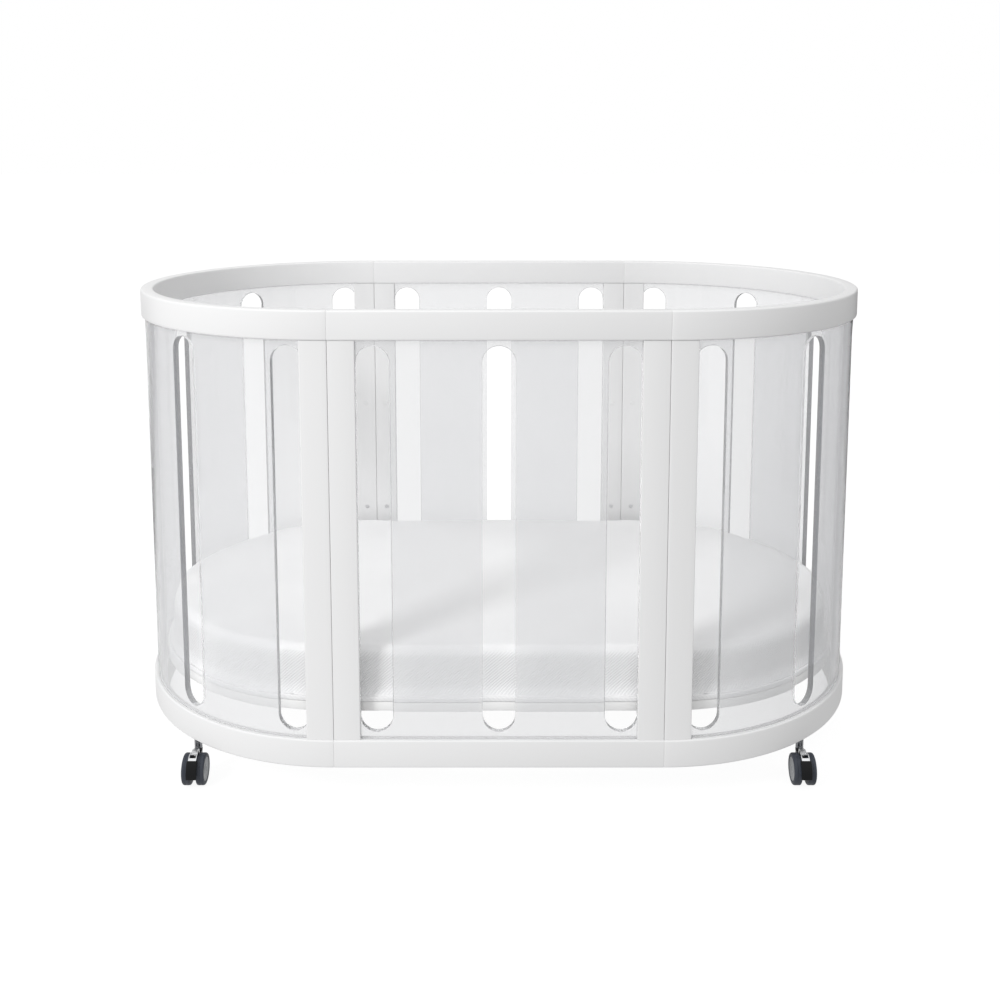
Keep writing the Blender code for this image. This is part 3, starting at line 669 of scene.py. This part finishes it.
def oval(half_length, radius, x, y, z, steps=10):
    points = []
    for side, start in ((1, -90), (-1, 90)):
        for i in range(steps + 1):
            angle = math.radians(start + 180 * i / steps)
            points.append(Vector((x + side * half_length + radius * math.cos(angle),
                                  y + radius * math.sin(angle), z)))
    return points


def board(outline, vents):
    low, high = BOARD
    body = prism([Vector((x, y, low)) for x, y in outline], (0, 0, high - low))
    cutters = [prism(oval(half, VENT_RADIUS, x, y, low - 0.01), (0, 0, high - low + 0.02))
               for half, x, y in vents]
    return bevelled(combine(body, cutters), 0.0007, 2, 40)


VENT_RADIUS = 0.009
VENT_PITCH = 0.11
ROUND_STEPS = 72
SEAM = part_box("base_board_middle")[1][0]
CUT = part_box("base_board_right")[0][0]
half_round = [(END_CENTRE + BOARD_RADIUS * math.sin(math.pi * i / ROUND_STEPS),
               -BOARD_RADIUS * math.cos(math.pi * i / ROUND_STEPS))
              for i in range(ROUND_STEPS + 1)]
half_round += [(CUT, BOARD_RADIUS), (CUT, -BOARD_RADIUS)]
vent_x = END_CENTRE + BOARD_RADIUS / 2 - 0.02
piece("base_board_middle_smooth",
      board([(-SEAM, -BOARD_RADIUS), (SEAM, -BOARD_RADIUS), (SEAM, BOARD_RADIUS),
             (-SEAM, BOARD_RADIUS)], [(0.141, 0.0, (i - 2) * VENT_PITCH) for i in range(5)]),
      board_paint, "crib", ["base_board_middle"])
for label, sign in (("right", 1), ("left", -1)):
    piece(f"base_board_{label}_smooth",
          board([(sign * x, sign * y) for x, y in half_round],
                [(0.076, sign * vent_x, (i - 1) * VENT_PITCH) for i in range(3)]),
          board_paint, "crib", [f"base_board_{label}"])
    bar = nodes[f"cross_bar_{label}"]
    bar.data.materials[0] = painted_steel
    edge = bar.modifiers.new("edges", "BEVEL")
    edge.width, edge.segments = 0.0018, 3
BOLT_PROFILE = rounded([(0.0, 0.0), (0.0, 0.0062), (0.0018, 0.0055), (0.0020, 0.0022),
                        (0.0006, 0.0020), (0.0006, 0.0)], 0.0004, 3)
BOLT_FACE = POST_INNER - 0.0033  # the brackets' inner face
bolts = bmesh.new()
for corner, (x_sign, y_sign) in CORNERS.items():
    bracket = nodes[f"base_bracket_{corner}"]
    bracket.data.materials[0] = painted_steel
    edge = bracket.modifiers.new("edges", "BEVEL")
    edge.width, edge.segments, edge.limit_method = 0.0006, 2, "ANGLE"
    nodes[f"joint_pin_{corner}"].data.materials[0] = pin_steel
    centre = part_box(f"cross_bar_{'left' if x_sign < 0 else 'right'}")
    x = (centre[0][0] + centre[1][0]) / 2
    turned_into(bolts, (x, y_sign * BOLT_FACE, LEVELS[0]), (0, -y_sign, 0), BOLT_PROFILE, 32)
piece("bracket_bolts", mesh_of(bolts), pin_steel, "crib")


# ---------------------------------------------------------------- mattress
def stadium(radius, z, steps):
    half = [(END_CENTRE + radius * math.sin(math.pi * i / steps),
             -radius * math.cos(math.pi * i / steps)) for i in range(steps + 1)]
    return [Vector((x, y, z)) for x, y in half] + [Vector((-x, -y, z)) for x, y in half]


def edge_measure(x, y):
    """Distance run along the mattress's edge from the middle of its front, signed by side."""
    over = max(abs(x) - END_CENTRE, 0.0)
    turn = math.atan2(over, -y)
    run = min(abs(x), END_CENTRE) + MATTRESS_RADIUS * turn
    if y > 0 and over == 0.0:
        run = END_CENTRE + MATTRESS_RADIUS * math.pi + (END_CENTRE - abs(x))
    return math.copysign(run, x)


def from_edge(x, y):
    """How far inside the mattress's outline a point is."""
    over = max(abs(x) - END_CENTRE, 0.0)
    return MATTRESS_RADIUS - math.hypot(over, y)


def soft_pad():
    """The cover, made a little small and blown up by the simulation."""
    low, high = MATTRESS
    shrink, headroom, voxel = 0.004, 0.003, 0.0065
    profile = [(0.006, 0.0005), (0.002, 0.003), (0.0, 0.008), (0.0, 0.070), (0.002, 0.080),
               (0.006, 0.086), (0.013, 0.0885)]
    scale = (high - low - headroom) / profile[-1][1]
    mesh = loft([stadium(MATTRESS_RADIUS - shrink - inset, low + up * scale, 48)
                 for inset, up in profile])
    mesh = modified(mesh, "REMESH", mode="VOXEL", voxel_size=voxel)
    mesh = swollen(mesh)
    mesh = modified(mesh, "SMOOTH", factor=0.5, iterations=6)
    return mesh


def swollen(mesh):
    """Blows the cover up against its cloth, no further than the cap."""
    obj = bpy.data.objects.new("cover", mesh)
    scene.collection.objects.link(obj)
    cap, last_frame = 0.006, 20
    before = [v.co.copy() for v in mesh.vertices]
    cloth_sim = obj.modifiers.new("cloth", "CLOTH")
    settings = cloth_sim.settings
    settings.quality = 4
    settings.mass = 0.4
    settings.tension_stiffness = 25
    settings.compression_stiffness = 25
    settings.bending_stiffness = 2.5
    settings.use_pressure = True
    settings.uniform_pressure_force = 4.0
    settings.effector_weights.gravity = 0.0
    cloth_sim.collision_settings.use_collision = False
    for number in range(1, last_frame + 1):
        scene.frame_set(number)
    graph = bpy.context.evaluated_depsgraph_get()
    result = bpy.data.meshes.new_from_object(obj.evaluated_get(graph))
    bpy.data.objects.remove(obj, do_unlink=True)
    scene.frame_set(1)
    for vert, start in zip(result.vertices, before):
        move = vert.co - start
        if move.length > cap:
            vert.co = start + move.normalized() * cap
    return result


def bell(distance, width):
    return math.exp(-(distance / width) ** 2)


def shaped(mesh):
    """Sits the pad on its boards and adds its seams, gathers and gentle dips."""
    low, high = MATTRESS
    edge_roll, rim, flat_top = 0.012, 0.016, high - 0.0022
    sink, crown_rise, lift_off = 0.0015, 0.0022, 0.0002
    for vert in mesh.vertices:
        x, y, z = vert.co
        inside = from_edge(x, y)
        run = edge_measure(x, y)
        up = (z - low) / (high - low)
        if up > 0.75 and inside > edge_roll:
            dip = 0.0016 * noise.noise(Vector((x * 5, y * 5, 3.1)))
            dip += 0.0008 * noise.noise(Vector((x * 16, y * 16, 7.7)))
            crown = crown_rise * (1 - bell(inside, 0.10))
            vert.co.z = min(vert.co.z, flat_top) + dip * 0.8 + crown - sink
        if inside < rim:
            outer = Vector((x - math.copysign(min(abs(x), END_CENTRE), x), y, 0))
            if outer.length > 1e-6:
                outer.normalize()
                gather = 0.0008 * noise.noise(Vector((run * 26, z * 20, 1.3)))
                gather += 0.0010 * noise.noise(Vector((run * 7, z * 9, 5.3)))
                seam = -0.0006 * bell(z - (high - BAND_HEAD), 0.0028)
                seam += -0.0003 * bell(z - (low + 0.009), 0.0030)
                skirt = max(inside - 0.0012, 0.0) * bell(z - (low + 0.007), 0.008)
                vert.co += outer * ((gather + seam) * (1.0 if up > 0.04 else 0.3) + skirt)
        vert.co.z = max(vert.co.z, low + lift_off)
    return mesh


def edge_uv(mesh):
    """Lays the UV map out in metres, without a jump where the edge's two runs meet."""
    layer = mesh.uv_layers.new(name="metres")
    for face in mesh.polygons:
        flat = abs(face.normal.z) > 0.75
        runs = [edge_measure(*mesh.vertices[i].co.xy) for i in face.vertices]
        jump = max(runs) - min(runs) > 0.5
        for loop, vertex, run in zip(face.loop_indices, face.vertices, runs):
            x, y, z = mesh.vertices[vertex].co
            if jump and run < 0:
                run = -run
            layer.data[loop].uv = (x, y) if flat else (run, z)
    return mesh


pad_mesh = modified(shaped(soft_pad()), "SUBSURF", levels=1, render_levels=1)
pad = piece("mattress_pad", edge_uv(pad_mesh), cloth, "mattress", ["mattress"],
            80)


def squared(value):
    """Pushes a cosine or sine outward, which turns a round section into a squarer one."""
    return math.copysign(abs(value) ** 0.5, value)


def welt(name, radius_at, z, thickness, height, steps=96, sides=16):
    """The taped welt that runs round the mattress near its foot."""
    path = stadium(radius_at, z, steps)
    rings = []
    for before, point, after in zip(path[-1:] + path[:-1], path, path[1:] + path[:1]):
        along = (after - before).normalized()
        out = along.cross(Vector((0, 0, 1))).normalized()
        rings.append([point + thickness * squared(math.cos(math.tau * k / sides)) * out
                      + Vector((0, 0, height * squared(math.sin(math.tau * k / sides))))
                      for k in range(sides)])
    return piece(name, loft(rings, True), tape, "mattress", sharp=80)


welt("mattress_welt", MATTRESS_RADIUS - 0.0004, MATTRESS[0] + 0.0044, 0.0024, 0.0041)


# ---------------------------------------------------------------- casters
def arc(steps, first=0):
    """Angles of a quarter turn."""
    return [math.pi / 2 * i / steps for i in range(first, steps + 1)]


def tyre():
    w, r = WHEEL_WIDTH, WHEEL_RADIUS
    profile = [(0.0, 0.0028), (0.0, r - 0.0022)]
    profile += [(0.0022 - 0.0022 * math.cos(a), r - 0.0022 + 0.0022 * math.sin(a))
                for a in arc(5, 1)]
    profile += [(w / 2 - 0.0006, r), (w / 2, r - 0.0003), (w / 2 + 0.0006, r)]
    profile += [(w - 0.0030 + 0.0030 * math.sin(a), r - 0.0030 + 0.0030 * math.cos(a))
                for a in arc(6)]
    profile += [(w, 0.0197), (w - 0.0006, 0.0191), (w - 0.0022, 0.0190), (w - 0.0030, 0.0028)]
    return profile


def disc():
    w = WHEEL_WIDTH
    return rounded([(w - 0.0031, 0.0), (w - 0.0031, 0.0189), (w - 0.0006, 0.0189),
                    (w - 0.0004, 0.0182), (w - 0.0012, 0.0165), (w - 0.0016, 0.0085),
                    (w - 0.0006, 0.0070), (w - 0.0004, 0.0040), (w - 0.0012, 0.0034),
                    (w - 0.0012, 0.0)], 0.0004, 3)


def arc_plate(hub, radius, thickness, low_deg, high_deg, width, steps=20):
    """A plate bent round the axle, such as the brake pedal's tread."""
    outline = []
    for r, first, last in ((radius + thickness, low_deg, high_deg), (radius, high_deg, low_deg)):
        for i in range(steps + 1):
            angle = math.radians(first + (last - first) * i / steps)
            outline.append(Vector((hub.x - width / 2, hub.y - r * math.cos(angle),
                                   hub.z + r * math.sin(angle))))
    return prism(outline, (width, 0, 0))


def caster(corner):
    low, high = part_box(f"caster_stem_{corner}")
    x, y = (low[0] + high[0]) / 2, (low[1] + high[1]) / 2
    hub = Vector((x, y - TRAIL, WHEEL_RADIUS))
    swivel, pedal_body = f"swivel_{corner}", f"pedal_{corner}"
    stem = turned_mesh((x, y, 0.0), (0, 0, 1), rounded(
        [(0.0340, 0.0), (0.0340, 0.0029), (0.0503, 0.0029), (0.0503, 0.0064), (0.0530, 0.0064),
         (0.0533, 0.0059), (0.0545, 0.0059), (0.0548, 0.0064), (high[2], 0.0064), (high[2], 0.0)],
        0.0004, 3), 40)
    piece(f"caster_stem_{corner}_smooth", stem, chrome, swivel, [f"caster_stem_{corner}"])
    web_half, web_radius = 0.00475, 0.016
    web = [(-0.029, 0.0411), (-0.022, 0.0451), (0.0072, 0.0451), (0.0062, WHEEL_RADIUS)]
    web += [(-TRAIL + web_radius * math.cos(math.radians(a)),
             WHEEL_RADIUS + web_radius * math.sin(math.radians(a)))
            for a in range(-30, -196, -15)]
    web = prism([Vector((x - web_half, y + dy, z)) for dy, z in web], (2 * web_half, 0, 0))
    web = bevelled(web, 0.0009, 3, 35)
    boss = turned_mesh((x, y, 0.0445), (0, 0, 1), rounded(
        [(0.0, 0.0), (0.0, 0.0064), (0.0025, 0.0066), (0.0055, 0.0065), (0.0055, 0.0)],
        0.0010, 4), 40)
    housing = combine(web, [boss], "UNION")
    piece(f"caster_housing_{corner}_smooth", housing, black_plastic, swivel,
          [f"caster_housing_{corner}"])
    nodes[f"caster_axle_{corner}"].data.materials[0] = axle_steel
    for side, sign in (("left", -1), ("right", 1)):
        start = hub + Vector((sign * WHEEL_START, 0, 0))
        body = f"wheel_{corner}_{side}"
        piece(f"tyre_{corner}_{side}", turned_mesh(start, (sign, 0, 0), tyre(), 72),
              tyre_rubber, body, [f"wheel_{corner}_{side}"], 35)
        piece(f"wheel_disc_{corner}_{side}", turned_mesh(start, (sign, 0, 0), disc(), 72),
              disc_plastic, body, sharp=35)
    tread = bevelled(arc_plate(hub, 0.0292, 0.0035, -5, 50, 0.017), 0.0008, 3, 50)
    piece(f"brake_tread_{corner}", tread, pedal_plastic, pedal_body, [f"brake_pedal_{corner}"])
    arm = arc_plate(hub, 0.0294, 0.0028, 46, 80, 0.0130)
    slot = arc_plate(hub, 0.0280, 0.0060, 58, 71, 0.0104)
    neck = arc_plate(hub, 0.0294, 0.0028, 70, 98, 0.0084)
    knuckle = turned_mesh((x - 0.0042, y - 0.0135, 0.050), (1, 0, 0),
                          [(0.0, 0.0), (0.0, 0.0035), (0.0084, 0.0035), (0.0084, 0.0)], 24)
    link = prism([Vector((x - 0.0041, y + dy, z)) for dy, z in
                  ((-0.0163, 0.050), (-0.0114, 0.05105), (-0.01385, 0.0552), (-0.01945, 0.0560))],
                 (0.0082, 0, 0))
    arm = combine(combine(arm, [slot]), [neck, link, knuckle], "UNION")
    piece(f"brake_arm_{corner}", bevelled(arm, 0.0005, 2, 40), silver, pedal_body)


for corner in CORNERS:
    caster(corner)


# ---------------------------------------------------------------- floor, light, camera
def dark_strip(maths, bearing, azimuth, width, depth):
    """1 all round, but for a soft dip at an azimuth in degrees, like a dark card beside the set."""
    away = maths("DIVIDE", maths("SUBTRACT", bearing, math.radians(azimuth)), math.radians(width))
    strip = maths("POWER", math.e, maths("MULTIPLY", maths("MULTIPLY", away, away), -1.0))
    return maths("MULTIPLY_ADD", strip, -depth, 1.0)


def pale_floor():
    """White to the camera; the light it gives back is graded from left to right."""
    reach = 30
    mesh = bpy.data.meshes.new("floor")
    mesh.from_pydata([(-reach, -reach, 0), (reach, -reach, 0), (reach, reach, 0),
                      (-reach, reach, 0)], [], [(0, 1, 2, 3)])
    obj = bpy.data.objects.new("floor", mesh)
    scene.collection.objects.link(obj)
    s = Shade("floor_paper", (0.12, 0.12, 0.12), 0.9)
    s.shader.inputs["Emission Color"].default_value = (1, 1, 1, 1)
    s.shader.inputs["Emission Strength"].default_value = 0.92
    s.shader.inputs["Specular IOR Level"].default_value = 0.0
    across = s.node("ShaderNodeSeparateXYZ")
    s.feed(across.inputs[0], s.coordinates)
    bearing = s.math("ARCTAN2", across.outputs[0], across.outputs[1])
    glow = s.node("ShaderNodeEmission")
    level = s.spread(across.outputs[0], 0.72, 0.42, -0.2, 1.2)
    level = s.math("MULTIPLY", level, dark_strip(s.math, bearing, -50.0, 8.0, 0.80))
    level = s.math("MULTIPLY", level, dark_strip(s.math, bearing, 32.0, 16.0, 0.97))
    s.feed(glow.inputs["Strength"], level)
    path = s.node("ShaderNodeLightPath")
    both = s.node("ShaderNodeMixShader")
    s.feed(both.inputs[0], s.math("MAXIMUM", path.outputs["Is Camera Ray"],
                                  path.outputs["Is Transmission Ray"]))
    s.feed(both.inputs[1], glow.outputs[0])
    s.feed(both.inputs[2], s.shader.outputs[0])
    s.feed(s.tree.nodes["Material Output"].inputs["Surface"], both.outputs[0])
    mesh.materials.append(s.material)


def soft_light():
    """White to the camera and through the panels; as light, brighter above, with dark strips."""
    world = bpy.data.worlds.new("studio")
    scene.world = world
    world.use_nodes = True
    tree = world.node_tree
    direction = tree.nodes.new("ShaderNodeTexCoord").outputs["Generated"]
    parts = tree.nodes.new("ShaderNodeSeparateXYZ")
    tree.links.new(direction, parts.inputs[0])

    def maths(operation, *values):
        made = tree.nodes.new("ShaderNodeMath")
        made.operation = operation
        for socket, value in zip(made.inputs, values):
            if isinstance(value, (int, float)):
                socket.default_value = value
            else:
                tree.links.new(value, socket)
        return made.outputs[0]

    bearing = maths("ARCTAN2", parts.outputs[0], parts.outputs[1])
    horizon, rise, fade, fade_from, darkest = 0.588, 0.61, -0.08, 0.30, 0.03
    level = maths("MULTIPLY_ADD", parts.outputs[2], rise, horizon)
    to_right = maths("MAXIMUM", maths("ADD", parts.outputs[0], -fade_from), 0.0)
    level = maths("MULTIPLY_ADD", to_right, fade, level)
    level = maths("MULTIPLY", level, dark_strip(maths, bearing, -42.0, 7.0, 0.90))
    level = maths("MULTIPLY", level, dark_strip(maths, bearing, 36.0, 13.0, 0.97))
    level = maths("MAXIMUM", level, darkest)
    dim = tree.nodes["Background"]
    dim.inputs["Color"].default_value = (1, 1, 1, 1)
    tree.links.new(level, dim.inputs["Strength"])
    seen = tree.nodes.new("ShaderNodeBackground")
    seen.inputs["Color"].default_value = (1, 1, 1, 1)
    seen.inputs["Strength"].default_value = 1.0
    both = tree.nodes.new("ShaderNodeMixShader")
    path = tree.nodes.new("ShaderNodeLightPath").outputs
    tree.links.new(maths("MAXIMUM", path["Is Camera Ray"], path["Is Transmission Ray"]),
                   both.inputs[0])
    tree.links.new(dim.outputs[0], both.inputs[1])
    tree.links.new(seen.outputs[0], both.inputs[2])
    tree.links.new(both.outputs[0], tree.nodes["World Output"].inputs["Surface"])


def softbox(name, location, size, power, target=(0, 0, 0.4)):
    """A lamp that lights and casts shadows, but shows in no reflection."""
    data = bpy.data.lights.new(name, "AREA")
    data.shape = "RECTANGLE"
    data.size, data.size_y = size
    data.energy = power
    obj = bpy.data.objects.new(name, data)
    obj.location = location
    aim = Vector(target) - Vector(location)
    obj.rotation_euler = aim.to_track_quat("-Z", "Y").to_euler()
    obj.visible_camera = obj.visible_glossy = obj.visible_transmission = False
    scene.collection.objects.link(obj)


pale_floor()
soft_light()
softbox("key", (-2.81, -3.12, 2.95), (1.1, 1.1), 94)
scene.view_settings.view_transform = "Standard"

camera = bpy.data.objects.new("camera", bpy.data.cameras.new("camera"))
DOWNWARD = 7.6917  # degrees; the lens shift does the rest
camera.data.lens = 44.35
camera.data.sensor_width = 36.0
camera.data.shift_x = 0.001
camera.data.shift_y = -0.20
camera.data.clip_end = 200
camera.location = (0.0, -2.2019, 1.0637)
camera.rotation_euler = (math.radians(90.0 - DOWNWARD), 0.0, 0.0)
scene.collection.objects.link(camera)
scene.camera = camera

bpy.context.view_layer.update()
